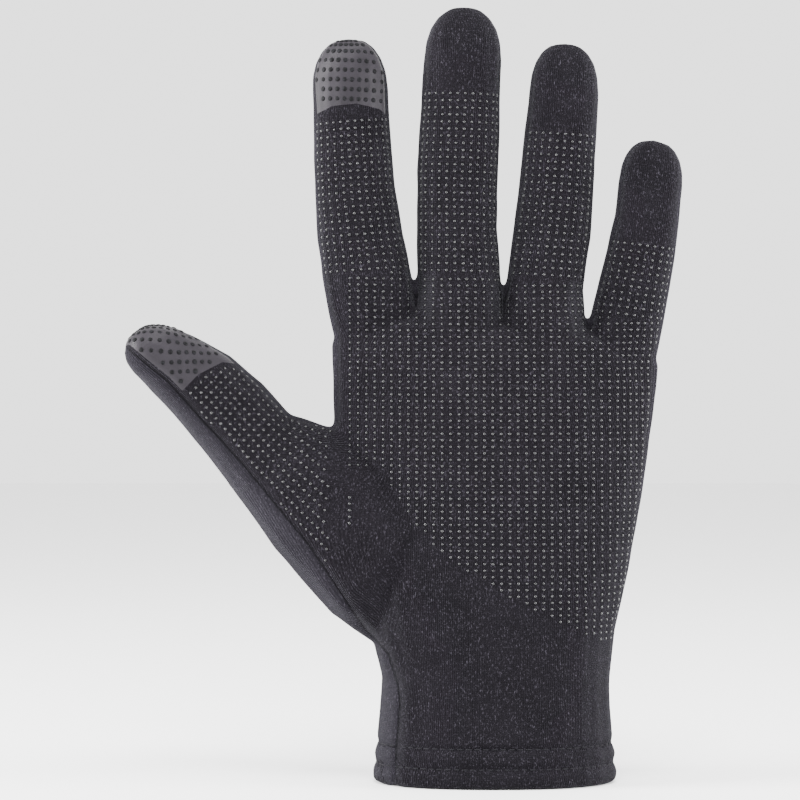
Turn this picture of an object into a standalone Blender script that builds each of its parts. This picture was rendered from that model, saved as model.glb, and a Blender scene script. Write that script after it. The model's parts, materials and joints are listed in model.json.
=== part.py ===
"""A left-hand knitted touchscreen glove with a turned-up hem, standing open at the wrist.

+Z runs to the fingertips, the palm faces -Y and the thumb points to -X. The origin is the
middle of the wrist opening, at the edge of the hem. Sizes are in millimetres until a mesh
is made. Each digit is a chain of short cloth tubes on hinge lines, and a wedge of cloth on
the palm side of every hinge takes up the fold."""

import math
from collections import namedtuple

import bmesh
import bpy
import numpy as np
from mathutils import Vector

MM = 0.001

# Cloth
WALL = 1.6
HEM_WALL = 3.0
GAP = 0.3
SEAM_SETBACK = 3.5  # the side seams and the hinge lines lie this far palmward of mid-depth

# Cuff and palm
CUFF_LENGTH = 33.0  # hem edge to the narrowest part of the wrist
HEM_HEIGHT = 14.0
HEM_WIDTH = 76.8
WRIST_WIDTH = 71.7
CUFF_DEPTH = 44.0
PALM_LENGTH = 120.0  # narrowest part of the wrist to the web under the middle finger
PALM_WIDTH = 104.0
PALM_DEPTH = 41.0

# Hem stitching
STITCH_HEIGHTS = {"hem_stitch_lower": 6.0, "hem_stitch_upper": 12.2}
THREAD = 0.6
STITCH_GROOVE = 1.1
ROLL_HEIGHT = 0.45

# How far each hinge bends, in degrees
KNUCKLE_RANGE = 70.0
MIDDLE_RANGE = 84.0
TIP_RANGE = 42.0
THUMB_BASE_RANGE = 45.0
THUMB_TIP_RANGE = 60.0
FOLD_SPARE = 2.0  # degrees left over on each side of a fully bent hinge
FOLD_HALF = 0.8  # half the height of a fold at the side seams

# Mesh fineness
DIGIT_SIDES = 16
PALM_SIDES = 28
DIGIT_ROWS = 6
DOME_STEPS = (0.35, 0.6, 0.8, 0.93)
DOME_POWER = 2.4
ROUNDNESS = 2.2  # exponent of every cross-section, where 2 is an ellipse
DOME_SHARE = 0.66  # length of a fingertip's dome, in shares of the finger's width
FINGER_CURL = 4.0  # how far the tip of a finger leans towards the palm
CUT_DEPTH = 0.72  # how far a cut reaches from a digit's hinge line, in shares of its depth
CUT_SPARE = 1.2  # how far a cut reaches past the sides of a digit
PAST_TIP = 5.0
PAST_SEAM = 2.0  # how far a cut reaches over the side seam
ROOT_PAST_HINGE = 3.0  # the panels' share of a digit is built this far over its first hinge
INNER_PAST_ROOT = 4.0
INNER_START = 0.5
FAR = 400.0

# One row of an outline: share of the length, and shares of the width or depth
Row = namedtuple("Row", "along left right depth")
Hinge = namedtuple("Hinge", "name along bend")
Digit = namedtuple("Digit", "name root lean length width depth curl dome rows hinges pieces")

PALM_ROWS = (
    Row(0.00, 0.343, 0.346, 1.05),
    Row(0.14, 0.380, 0.365, 1.02),
    Row(0.31, 0.418, 0.410, 1.00),
    Row(0.475, 0.457, 0.443, 0.95),
    Row(0.64, 0.486, 0.471, 0.86),
    Row(0.79, 0.490, 0.488, 0.76),
    Row(0.86, 0.495, 0.494, 0.71),
    Row(0.93, 0.470, 0.470, 0.60),
    Row(0.975, 0.390, 0.390, 0.38),
)
PALM_SLOPE = 0.10  # the palm's top falls this much, per unit across, towards the little finger
SLOPE_FROM = 0.64

KNIT = ("charcoal_knit", (0.036, 0.034, 0.044), 0.85, 0.0)
KNIT_BACK = ("charcoal_knit_back", (0.045, 0.042, 0.054), 0.85, 0.0)
KNIT_FOLD = ("charcoal_knit_fold", (0.030, 0.028, 0.037), 0.9, 0.0)
TOUCH_CLOTH = ("conductive_cloth", (0.090, 0.080, 0.095), 0.55, 0.1)
THREAD_BLACK = ("sewing_thread", (0.015, 0.015, 0.018), 0.7, 0.0)


def finger(name, root, lean, length, palm_share, depth, rows, first, second, third):
    """A finger: its hinges are this many millimetres above the root of its outline."""
    width = palm_share * PALM_WIDTH
    hinges = (
        Hinge("knuckle", first, KNUCKLE_RANGE),
        Hinge("middle", second, MIDDLE_RANGE),
        Hinge("tip", third, TIP_RANGE),
    )
    pieces = ("lower", "middle", "tip")
    return Digit(name, root, lean, length, width, depth, FINGER_CURL, DOME_SHARE * width, rows,
                  hinges, pieces)


def on_palm(across, below_web):
    """A place (x, z) in shares of the palm's width, and millimetres below the middle web."""
    return (across * PALM_WIDTH, CUFF_LENGTH + PALM_LENGTH - below_web)


INDEX_ROWS = (
    Row(0.00, 0.47, 0.66, 0.84), Row(0.15, 0.53, 0.59, 1.17), Row(0.30, 0.576, 0.504, 1.07),
    Row(0.54, 0.556, 0.432, 1.02), Row(0.77, 0.520, 0.436, 0.976), Row(1.0, 0.49, 0.43, 0.95),
)
MIDDLE_ROWS = (
    Row(0.00, 0.60, 0.62, 1.20), Row(0.14, 0.54, 0.54, 1.17), Row(0.27, 0.545, 0.47, 1.07),
    Row(0.49, 0.565, 0.45, 1.02), Row(0.78, 0.515, 0.456, 0.976), Row(1.0, 0.48, 0.44, 0.95),
)
RING_ROWS = (
    Row(0.00, 0.675, 0.63, 1.29), Row(0.16, 0.58, 0.49, 1.17), Row(0.32, 0.535, 0.53, 1.07),
    Row(0.53, 0.475, 0.54, 1.02), Row(0.80, 0.430, 0.515, 0.976), Row(1.0, 0.41, 0.49, 0.95),
)
LITTLE_ROWS = (
    Row(0.00, 0.66, 0.46, 1.05), Row(0.18, 0.615, 0.507, 1.17), Row(0.38, 0.537, 0.537, 1.07),
    Row(0.63, 0.430, 0.556, 1.02), Row(0.80, 0.434, 0.54, 0.976), Row(1.0, 0.43, 0.50, 0.95),
)
THUMB_ROWS = (
    Row(0.00, 0.64, 1.50, 0.80), Row(0.055, 0.83, 1.62, 1.08), Row(0.107, 0.84, 1.65, 1.32),
    Row(0.221, 0.79, 1.45, 1.42), Row(0.357, 0.711, 1.148, 1.36), Row(0.471, 0.70, 0.741, 1.24),
    Row(0.533, 0.62, 0.58, 1.15), Row(0.585, 0.550, 0.54, 1.10), Row(0.660, 0.490, 0.570, 1.04),
    Row(0.803, 0.400, 0.552, 0.98), Row(0.91, 0.355, 0.410, 0.90), Row(1.0, 0.36, 0.28, 0.85),
)
FINGERS = (
    finger("index", on_palm(-0.375, 13), -4.19, 93.0, 0.2404, 21.0, INDEX_ROWS, 21.5, 44.0, 67.5),
    finger("middle", on_palm(-0.1115, 13), 1.34, 102.6, 0.2404, 21.5, MIDDLE_ROWS, 21.0, 47.0, 72.5),
    finger("ring", on_palm(0.149, 15), 3.49, 93.6, 0.2212, 20.0, RING_ROWS, 22.5, 46.0, 69.5),
    finger("little", on_palm(0.389, 23), 7.07, 71.5, 0.1971, 17.0, LITTLE_ROWS, 20.0, 37.0, 54.0),
)
THUMB = Digit(
    "thumb", on_palm(-0.1683, 103.4), -46.13, 131.5, 27.0, 25.0, 9.0, 12.5, THUMB_ROWS,
    (Hinge("base", 77.5, THUMB_BASE_RANGE), Hinge("tip", 99.5, THUMB_TIP_RANGE)),
    ("lower", "tip"),
)
DIGITS = (THUMB,) + FINGERS
TOUCH_PIECES = {"index_tip_palm": "index_touch_pad", "thumb_tip_palm": "thumb_touch_pad"}


# ---------- outlines ----------


def smooth(rows, field, along):
    """A smooth curve through one field of the rows, read at a share of the length."""
    xs = [row.along for row in rows]
    ys = [getattr(row, field) for row in rows]
    slopes = np.gradient(ys, xs)
    i = int(np.clip(np.searchsorted(xs, along) - 1, 0, len(xs) - 2))
    span = xs[i + 1] - xs[i]
    t = min(max((along - xs[i]) / span, 0.0), 1.0)
    start = (1 + 2 * t) * (1 - t) ** 2 * ys[i] + t * (1 - t) ** 2 * span * slopes[i]
    end = t * t * (3 - 2 * t) * ys[i + 1] + t * t * (t - 1) * span * slopes[i + 1]
    return float(start + end)


def direction(digit):
    """Unit vectors along the digit and across it, both in the XZ plane."""
    lean = math.radians(digit.lean)
    along = Vector((math.sin(lean), 0.0, math.cos(lean)))
    return along, Vector((along.z, 0.0, -along.x))


def mid_depth(digit, along):
    """The y of the digit's middle: straight to its first hinge, then curling to the palm."""
    first = digit.hinges[0].along
    share = max(along - first, 0.0) / (digit.length - first)
    return -digit.curl * share**2


def hinge_y(digit, along):
    return mid_depth(digit, along) - SEAM_SETBACK


def section(digit, along, inset):
    """Left, right and half depth of the digit at a distance from its root."""
    share = along / digit.length
    left = smooth(digit.rows, "left", share) * digit.width - inset
    right = smooth(digit.rows, "right", share) * digit.width - inset
    half_depth = smooth(digit.rows, "depth", share) * digit.depth / 2 - inset
    return left, right, half_depth


def oval(centre, across, half_width, half_depth, sides):
    """Points of a superellipse in the plane of `across` and Y."""
    points = []
    for k in range(sides):
        angle = 2 * math.pi * (k + 0.5) / sides
        c, s = math.cos(angle), math.sin(angle)
        x = math.copysign(abs(c) ** (2 / ROUNDNESS), c) * half_width
        y = math.copysign(abs(s) ** (2 / ROUNDNESS), s) * half_depth
        points.append(centre + across * x + Vector((0, y, 0)))
    return points


def digit_ring(digit, along, inset, shrink=1.0):
    left, right, half_depth = section(digit, along, inset)
    direct, across = direction(digit)
    root = Vector((digit.root[0], 0, digit.root[1]))
    centre = root + direct * along + across * (right - left) / 2
    centre.y = mid_depth(digit, along)
    half_width = (left + right) / 2 * shrink
    return oval(centre, across, half_width, half_depth * shrink, DIGIT_SIDES)


def digit_rings(digit, start, end, inset):
    """Rings from start to end, or to the rounded tip where end is None, and the tip's point."""
    if end is not None:
        return [digit_ring(digit, s, inset) for s in np.linspace(start, end, 4)], None
    dome_start = digit.length - digit.dome
    dome = digit.dome - inset
    rings = [digit_ring(digit, s, inset) for s in np.linspace(start, dome_start, DIGIT_ROWS)]
    for step in DOME_STEPS:
        shrink = (1 - step**DOME_POWER) ** (1 / DOME_POWER)
        rings.append(digit_ring(digit, dome_start + step * dome, inset, shrink))
    ring = digit_ring(digit, dome_start + dome, inset, 0.01)
    return rings, sum(ring, Vector()) / len(ring)


def palm_edges(share):
    """Left and right edge points and the half depth at a share of the palm's length."""
    left = smooth(PALM_ROWS, "left", share) * PALM_WIDTH
    right = smooth(PALM_ROWS, "right", share) * PALM_WIDTH
    z = CUFF_LENGTH + share * PALM_LENGTH
    tilt = PALM_SLOPE * min(max((share - SLOPE_FROM) / (1 - SLOPE_FROM), 0.0), 1.0)
    half_depth = smooth(PALM_ROWS, "depth", share) * PALM_DEPTH / 2
    return Vector((-left, 0, z)), Vector((right, 0, z - tilt * PALM_WIDTH)), half_depth


def cuff_size(z):
    """Half width and half depth of the cuff, which flares from the wrist to the hem's edge."""
    flare = max(1 - z / CUFF_LENGTH, 0.0) ** 1.5
    palm_half = palm_edges(0.0)[2]
    half_width = (WRIST_WIDTH + (HEM_WIDTH - WRIST_WIDTH) * flare) / 2
    return half_width, CUFF_DEPTH / 2 * flare + palm_half * (1 - flare)


def cuff_ring(z, inset):
    half_width, half_depth = cuff_size(z)
    centre = Vector((0, 0, z))
    return oval(centre, Vector((1, 0, 0)), half_width - inset, half_depth - inset, PALM_SIDES)


def palm_rings(start, inset):
    """Rings of the cuff and the palm from a height upwards."""
    rings = [cuff_ring(z, inset) for z in np.linspace(start, CUFF_LENGTH * 0.9, 3)]
    for share in (0.0, 0.12, 0.26, 0.40, 0.53, 0.66, 0.78, 0.87, 0.93, 0.975):
        left, right, half_depth = palm_edges(share)
        across = (right - left).normalized()
        half_width = (right - left).length / 2 - inset
        centre = (left + right) / 2 - Vector((0, 0, inset if share > 0.9 else 0))
        rings.append(oval(centre, across, half_width, half_depth - inset, PALM_SIDES))
    return rings


# ---------- meshes ----------


def mesh_from(points, faces):
    mesh = bpy.data.meshes.new("cloth")
    mesh.from_pydata([point * MM for point in points], [], faces)
    editor = bmesh.new()
    editor.from_mesh(mesh)
    bmesh.ops.recalc_face_normals(editor, faces=editor.faces)
    editor.to_mesh(mesh)
    editor.free()
    return mesh


def sides_between(first, second, sides):
    """Faces that join two rings, given by the number of their first point."""
    return [
        (first + k, first + (k + 1) % sides, second + (k + 1) % sides, second + k)
        for k in range(sides)
    ]


def loft(rings, point=None):
    """A closed solid through the rings, flat at its ends or drawn to a point at the last."""
    sides = len(rings[0])
    points = [p for ring in rings for p in ring]
    faces = [tuple(range(sides))]
    for row in range(len(rings) - 1):
        faces += sides_between(row * sides, (row + 1) * sides, sides)
    last = (len(rings) - 1) * sides
    if point is None:
        faces.append(tuple(range(last, last + sides)))
    else:
        points.append(point)
        faces += [(last + k, last + (k + 1) % sides, len(points) - 1) for k in range(sides)]
    return mesh_from(points, faces)


def cup(digit, start):
    """The digit's cloth as a thin cup, open at the start and closed at the tip."""
    outer, outer_tip = digit_rings(digit, start, None, 0.0)
    inner, inner_tip = digit_rings(digit, start, None, WALL)
    sides = DIGIT_SIDES
    points = [p for ring in outer + inner for p in ring] + [outer_tip, inner_tip]
    faces = sides_between(0, len(outer) * sides, sides)
    for layer in (0, len(outer)):
        for row in range(layer, layer + len(outer) - 1):
            faces += sides_between(row * sides, (row + 1) * sides, sides)
    for last, tip in ((len(outer) - 1, -2), (len(outer) + len(inner) - 1, -1)):
        centre = len(points) + tip
        faces += [(last * sides + k, last * sides + (k + 1) % sides, centre) for k in range(sides)]
    return mesh_from(points, faces)


def prism(digit, corners, reach):
    """A prism over a polygon of (along, y) corners, running across the digit."""
    direct, across = direction(digit)
    root = Vector((digit.root[0], 0, digit.root[1]))
    flat = [root + direct * along + Vector((0, y, 0)) for along, y in corners]
    count = len(flat)
    points = [p + across * side for side in (-reach, reach) for p in flat]
    faces = [tuple(range(count)), tuple(range(count, 2 * count))]
    return mesh_from(points, faces + sides_between(0, count, count))


def box(low, high):
    xs, ys, zs = zip(low, high)
    points = [Vector((x, y, z)) for z in zs for x, y in zip((xs[0], xs[1], xs[1], xs[0]),
                                                            (ys[0], ys[0], ys[1], ys[1]))]
    return mesh_from(points, [(0, 1, 2, 3), (4, 5, 6, 7)] + sides_between(0, 4, 4))


def boolean(target, cutters, operation):
    """The target mesh united with, cut by or kept inside all the cutters at once."""
    body = bpy.data.objects.new("target", target)
    bpy.context.collection.objects.link(body)
    group = bpy.data.collections.new("cutters")
    tools = [bpy.data.objects.new("cutter", cutter) for cutter in cutters]
    for tool in tools:
        group.objects.link(tool)
    step = body.modifiers.new("cut", "BOOLEAN")
    step.operation = operation
    step.solver = "EXACT"
    step.operand_type = "COLLECTION"
    step.collection = group
    shape = body.evaluated_get(bpy.context.evaluated_depsgraph_get())
    mesh = bpy.data.meshes.new_from_object(shape)
    for used in tools + [body]:
        bpy.data.objects.remove(used)
    bpy.data.collections.remove(group)
    return mesh


# ---------- regions of a digit ----------


def fold_slope(hinge):
    return math.tan(math.radians(hinge.bend / 2 + FOLD_SPARE))


def reach_y(digit):
    return digit.depth * CUT_DEPTH


def reach_across(digit, along):
    left, right, _ = section(digit, along, 0)
    return max(left, right) + CUT_SPARE


def front_region(digit, lower, upper):
    """The palm side between two hinges, cut back at each for the fold."""
    deep = reach_y(digit)
    far = digit.length + PAST_TIP
    start, end = lower.along + FOLD_HALF, upper.along - FOLD_HALF if upper else far
    y_start = hinge_y(digit, lower.along) - GAP / 2
    y_end = hinge_y(digit, upper.along if upper else digit.length) - GAP / 2
    top = end - deep * fold_slope(upper) if upper else far
    bottom = start + deep * fold_slope(lower)
    if upper and bottom > top:
        meet = (end - start) / (fold_slope(lower) + fold_slope(upper))
        tip_along = start + meet * fold_slope(lower)
        return [(start, y_start), (end, y_end), (tip_along, (y_start + y_end) / 2 - meet)]
    return [(start, y_start), (end, y_end), (top, y_end - deep), (bottom, y_start - deep)]


def fold_region(digit, hinge):
    deep = reach_y(digit)
    slope = fold_slope(hinge)
    half = FOLD_HALF - GAP / math.cos(math.atan(slope))
    wide = half + deep * slope
    y = hinge_y(digit, hinge.along) - GAP / 2
    s = hinge.along
    return [(s - half, y), (s + half, y), (s + wide, y - deep), (s - wide, y - deep)]


def back_region(digit, lower, upper):
    far = digit.length + PAST_TIP
    start, end = lower.along + GAP / 2, upper.along - GAP / 2 if upper else far
    y_start = hinge_y(digit, lower.along) + GAP / 2
    y_end = hinge_y(digit, upper.along if upper else digit.length) + GAP / 2
    return [(start, y_start), (end, y_end), (end, digit.depth), (start, digit.depth)]


def above_first_hinge(digit, side):
    """What the palm or the back panel loses to the digit: all past its first hinge."""
    hinge = digit.hinges[0]
    y = hinge_y(digit, hinge.along)
    far = digit.length + PAST_TIP
    if side == "back":
        low = y - PAST_SEAM
        return [(hinge.along - GAP / 2, low), (far, low), (far, digit.depth),
                (hinge.along - GAP / 2, digit.depth)]
    start = hinge.along - FOLD_HALF
    deep = reach_y(digit)
    high = y + PAST_SEAM
    return [(start, high), (far, high), (far, y - deep),
            (start - deep * fold_slope(hinge), y - deep), (start, y)]


# ---------- finished pieces ----------


def material(finish):
    """The plain colour, roughness and metallic value of one finish."""
    name, colour, roughness, metallic = finish
    made = bpy.data.materials.get(name) or bpy.data.materials.new(name)
    made.use_nodes = True
    shader = made.node_tree.nodes["Principled BSDF"]
    shader.inputs["Base Color"].default_value = (*colour, 1.0)
    shader.inputs["Roughness"].default_value = roughness
    shader.inputs["Metallic"].default_value = metallic
    return made


def finish_piece(name, mesh, finish, parent=None, pivot=None):
    """A named object, with its origin on its hinge line where it moves."""
    piece = bpy.data.objects.new(name, mesh)
    bpy.context.collection.objects.link(piece)
    if parent:
        mesh.vertices.foreach_set(
            "co", [c for v in mesh.vertices for c in (v.co - pivot)]
        )
        piece.parent = parent
    mesh.materials.clear()
    mesh.materials.append(material(finish))
    mesh.shade_smooth()
    mesh.set_sharp_from_angle(angle=math.radians(40))
    return piece


def hinge_point(digit, hinge):
    """The middle of a hinge line, in metres."""
    direct, across = direction(digit)
    left, right, _ = section(digit, hinge.along, 0)
    root = Vector((digit.root[0], 0, digit.root[1]))
    point = root + direct * hinge.along + across * (right - left) / 2
    point.y = hinge_y(digit, hinge.along)
    return point * MM


def hinge_empties(digit):
    """One empty on each hinge line, each the child of the one before it."""
    empties = []
    for hinge in digit.hinges:
        empty = bpy.data.objects.new(f"{digit.name}_{hinge.name}_hinge", None)
        bpy.context.collection.objects.link(empty)
        empty.location = hinge_point(digit, hinge)
        if empties:
            empty.parent = empties[-1]
            empty.location = hinge_point(digit, hinge) - hinge_point(digit, digit.hinges[len(empties) - 1])
        empties.append(empty)
    return empties


def digit_pieces(digit):
    """The moving pieces of a digit: a palm side, a back and a fold for every hinge."""
    cloth = cup(digit, digit.hinges[0].along - digit.depth)
    empties = hinge_empties(digit)
    uppers = digit.hinges[1:] + (None,)
    for number, (hinge, upper, part) in enumerate(zip(digit.hinges, uppers, digit.pieces)):
        empty, pivot = empties[number], hinge_point(digit, hinge)
        reach = reach_across(digit, hinge.along)
        name = f"{digit.name}_{part}_palm"
        name = TOUCH_PIECES.get(name, name)
        finish = TOUCH_CLOTH if name.endswith("touch_pad") else KNIT
        front = boolean(cloth, [prism(digit, front_region(digit, hinge, upper), reach)], "INTERSECT")
        finish_piece(name, front, finish, empty, pivot)
        back = boolean(cloth, [prism(digit, back_region(digit, hinge, upper), reach)], "INTERSECT")
        finish_piece(f"{digit.name}_{part}_back", back, KNIT_BACK, empty, pivot)
        fold = boolean(cloth, [prism(digit, fold_region(digit, hinge), reach)], "INTERSECT")
        below = empties[number - 1] if number else None
        below_pivot = hinge_point(digit, digit.hinges[number - 1]) if number else None
        finish_piece(f"{digit.name}_{hinge.name}_fold", fold, KNIT_FOLD, below, below_pivot)


def side_box(side):
    """Everything on one side of the side seams of the cuff and the palm."""
    if side == "palm":
        return box((-FAR, -FAR, -FAR), (FAR, -SEAM_SETBACK - GAP / 2, FAR))
    return box((-FAR, -SEAM_SETBACK + GAP / 2, -FAR), (FAR, FAR, FAR))


def hand_pieces():
    """The palm panel and the back panel, each with its share of the cuff and digit roots."""
    bottom = HEM_HEIGHT + GAP
    outer = loft(palm_rings(bottom, 0.0))
    inner = loft(palm_rings(bottom - 5, WALL))
    outer_roots, inner_roots = [], []
    for digit in DIGITS:
        end = digit.hinges[0].along + ROOT_PAST_HINGE
        outer_roots.append(loft(digit_rings(digit, 0.0, end, 0.0)[0]))
        rings = digit_rings(digit, INNER_START, end + INNER_PAST_ROOT, WALL)[0]
        inner_roots.append(loft(rings))
    outer = boolean(outer, outer_roots, "UNION")
    inner = boolean(inner, inner_roots, "UNION")
    shell = boolean(outer, [inner], "DIFFERENCE")
    for side, name, finish in (("palm", "palm_panel", KNIT), ("back", "back_panel", KNIT_BACK)):
        panel = boolean(shell, [side_box(side)], "INTERSECT")
        cuts = []
        for digit in DIGITS:
            reach = reach_across(digit, digit.hinges[0].along)
            cuts.append(prism(digit, above_first_hinge(digit, side), reach))
        finish_piece(name, boolean(panel, cuts, "DIFFERENCE"), finish)


def hem_profile():
    """(height, offset) up the outside of the hem: soft rolls between the stitch grooves."""
    half = THREAD / 2 + 0.2
    low, high = STITCH_HEIGHTS["hem_stitch_lower"], STITCH_HEIGHTS["hem_stitch_upper"]
    profile = [(0.0, -1.2), (0.9, -0.2), (low / 2, ROLL_HEIGHT)]
    for height in (low, high):
        profile += [(height - 2 * half, 0.0), (height - half, -STITCH_GROOVE)]
        profile += [(height + half, -STITCH_GROOVE), (height + 2 * half, 0.0)]
    profile.insert(7, ((low + high) / 2, ROLL_HEIGHT))
    return profile + [(HEM_HEIGHT, 0.0)]


def tube(outer, inner):
    """A closed ring of wall between matching outer and inner rings."""
    sides = len(outer[0])
    points = [p for ring in outer + inner for p in ring]
    faces = []
    for layer in (0, len(outer)):
        for row in range(layer, layer + len(outer) - 1):
            faces += sides_between(row * sides, (row + 1) * sides, sides)
    top = len(outer) - 1
    faces += sides_between(0, len(outer) * sides, sides)
    faces += sides_between(top * sides, (len(outer) + top) * sides, sides)
    return mesh_from(points, faces)


def hem_pieces():
    """The doubled hem, palm side and back, and the two rings of stitching in its grooves."""
    profile = hem_profile()
    outer = [cuff_ring(z, -offset) for z, offset in profile]
    inner = [cuff_ring(z, HEM_WALL) for z, _ in profile]
    ring = tube(outer, inner)
    for side, name, finish in (("palm", "hem_palm_side", KNIT), ("back", "hem_back_side", KNIT_BACK)):
        finish_piece(name, boolean(ring, [side_box(side)], "INTERSECT"), finish)
    for name, height in STITCH_HEIGHTS.items():
        inset = STITCH_GROOVE - GAP
        levels = (height - THREAD / 2, height + THREAD / 2)
        thread = tube([cuff_ring(z, inset - THREAD) for z in levels],
                      [cuff_ring(z, inset) for z in levels])
        finish_piece(name, thread, THREAD_BLACK)


def main():
    for old in list(bpy.data.objects):
        bpy.data.objects.remove(old)
    hand_pieces()
    hem_pieces()
    for digit in DIGITS:
        digit_pieces(digit)


main()
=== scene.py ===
# %% [markdown]
# # A touchscreen grip glove
# A stretch-knit winter glove for the left hand: brushed charcoal knit outside and fleece inside,
# a silicone grip print over the palm side, and two conductive patches, on the thumb and index
# finger, that work a phone. This notebook dresses the plain CAD panels as the worn cloth.

# %% The part
import json
import math

import bmesh
import bpy
import numpy as np
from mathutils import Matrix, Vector, noise
from mathutils.bvhtree import BVHTree

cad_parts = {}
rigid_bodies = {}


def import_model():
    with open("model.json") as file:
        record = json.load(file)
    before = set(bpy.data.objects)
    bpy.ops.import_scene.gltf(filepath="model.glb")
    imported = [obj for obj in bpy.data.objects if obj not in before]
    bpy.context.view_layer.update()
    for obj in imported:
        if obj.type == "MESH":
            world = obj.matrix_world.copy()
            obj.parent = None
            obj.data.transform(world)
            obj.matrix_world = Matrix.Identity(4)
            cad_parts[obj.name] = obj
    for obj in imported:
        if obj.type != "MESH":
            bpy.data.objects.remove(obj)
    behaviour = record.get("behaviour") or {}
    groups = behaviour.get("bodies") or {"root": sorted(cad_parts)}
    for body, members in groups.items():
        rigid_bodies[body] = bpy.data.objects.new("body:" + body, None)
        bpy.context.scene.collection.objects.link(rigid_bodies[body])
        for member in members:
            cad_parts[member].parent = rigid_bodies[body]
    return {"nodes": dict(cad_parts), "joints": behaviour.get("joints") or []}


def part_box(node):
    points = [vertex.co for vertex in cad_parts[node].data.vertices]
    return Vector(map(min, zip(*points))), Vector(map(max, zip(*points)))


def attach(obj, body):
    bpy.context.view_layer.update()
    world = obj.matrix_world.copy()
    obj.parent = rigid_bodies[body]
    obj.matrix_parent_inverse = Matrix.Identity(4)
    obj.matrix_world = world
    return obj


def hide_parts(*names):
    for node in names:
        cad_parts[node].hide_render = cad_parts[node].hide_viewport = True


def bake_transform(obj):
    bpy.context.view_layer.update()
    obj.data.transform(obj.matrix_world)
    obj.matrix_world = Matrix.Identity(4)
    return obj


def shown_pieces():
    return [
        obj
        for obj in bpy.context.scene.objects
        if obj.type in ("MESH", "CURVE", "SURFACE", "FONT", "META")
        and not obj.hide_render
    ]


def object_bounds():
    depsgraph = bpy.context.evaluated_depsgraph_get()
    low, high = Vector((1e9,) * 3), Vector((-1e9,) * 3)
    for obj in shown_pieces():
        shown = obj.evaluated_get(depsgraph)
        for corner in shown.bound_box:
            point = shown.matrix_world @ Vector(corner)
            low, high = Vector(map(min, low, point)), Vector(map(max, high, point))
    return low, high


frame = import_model()
bpy.context.view_layer.update()
first_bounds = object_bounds()
MM = 0.001
SEED = 7

# %% [markdown]
# ## Where each finger lies
# A glove finger is a tube that bends at the wearer's own joints. Everything that follows a finger
# is placed by three numbers: how far along it, how far across it and how deep.
# The joints of the CAD part give the first two, so the print follows the same hinge lines as the
# cloth.

# %% Finger frames
SEAM_SETBACK = 3.5 * MM  # the hinge lines lie this far palmward of mid-depth
WEB_BELOW = {"index": 2.4 * MM, "middle": 2.4 * MM, "ring": 3.2 * MM,  # a finger's own cloth
             "little": 5.0 * MM, "thumb": 5.0 * MM}  # starts this far below its first hinge
FINGERS = ("index", "middle", "ring", "little")
DIGITS = FINGERS + ("thumb",)


class Digit:
    """One finger or the thumb: its hinges, its direction and the widths of its cloth."""

    def __init__(self, name):
        self.name = name
        joints = [j for j in frame["joints"] if j["name"].startswith(name + "_")]
        self.joints = sorted(joints, key=lambda j: j["pos_m"][2])
        self.start = np.array(self.joints[0]["pos_m"])
        self.across = np.array(self.joints[0]["axis"])
        self.along = np.cross(self.across, (0.0, 1.0, 0.0))
        hinges = np.array([j["pos_m"] for j in self.joints])
        self.hinge_along = (hinges - self.start) @ self.along
        self.hinge_across = (hinges - self.start) @ self.across
        self.hinge_depth = hinges[:, 1] + SEAM_SETBACK
        self.bodies = [self.joints[0]["parent"]] + [j["child"] for j in self.joints]

    def place(self, points):
        """How far along, across and deep each point lies, from the finger's own centre line."""
        off = points - self.start
        t = off @ self.along
        s = off @ self.across - np.interp(t, self.hinge_along, self.hinge_across)
        return t, s, points[:, 1] - np.interp(t, self.hinge_along, self.hinge_depth)

    def centre(self, t):
        """The points of the centre line at these distances along it."""
        s = np.interp(t, self.hinge_along, self.hinge_across)
        points = self.start + np.outer(t, self.along) + np.outer(s, self.across)
        points[:, 1] = np.interp(t, self.hinge_along, self.hinge_depth)
        return points


digits = {name: Digit(name) for name in DIGITS}
for digit in digits.values():
    print(digit.name, "hinges at", np.round(digit.hinge_along / MM, 1), "mm")

# %% [markdown]
# ## One skin over all the panels
# A knitted glove has no gaps: its panels are sewn edge to edge and the cloth runs over the seams.
# The CAD panels are joined, wrapped in one even net of small squares and smoothed, which also
# rounds the webs between the fingers. The cloth is thin and already fitted to a hand, so it is
# shaped by moving the net's points and not by a cloth simulation.

# %% The net
NET = 0.8 * MM
MOUTH_HEIGHT = 3 * MM  # how high the block reaches that closes the wrist
SMOOTH_ROUNDS = 14
cloth_nodes = [n for n in frame["nodes"] if "stitch" not in n]


def mesh_arrays(obj):
    """The points and triangles of a mesh object."""
    mesh = obj.data
    mesh.calc_loop_triangles()
    points = np.array([v.co for v in mesh.vertices], float).reshape(-1, 3)
    triangles = np.array([t.vertices for t in mesh.loop_triangles], int).reshape(-1, 3)
    return points, triangles


def new_object(name, points, faces, attributes=()):
    """A new mesh object at the origin, with one value or vector per point for each attribute."""
    mesh = bpy.data.meshes.new(name)
    mesh.from_pydata([tuple(p) for p in points], [], [list(map(int, f)) for f in faces])
    for key, values in dict(attributes).items():
        kind, slot = ("FLOAT", "value") if np.ndim(values) == 1 else ("FLOAT_VECTOR", "vector")
        layer = mesh.attributes.new(key, kind, "POINT")
        layer.data.foreach_set(slot, np.asarray(values, np.float32).ravel())
    mesh.update()
    obj = bpy.data.objects.new(name, mesh)
    bpy.context.scene.collection.objects.link(obj)
    return obj


def joined(names):
    """The points and triangles of several CAD nodes in one list."""
    all_points, all_triangles, count = [], [], 0
    for name in names:
        points, triangles = mesh_arrays(frame["nodes"][name])
        all_points.append(points)
        all_triangles.append(triangles + count)
        count += len(points)
    return np.vstack(all_points), np.vstack(all_triangles)


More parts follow.
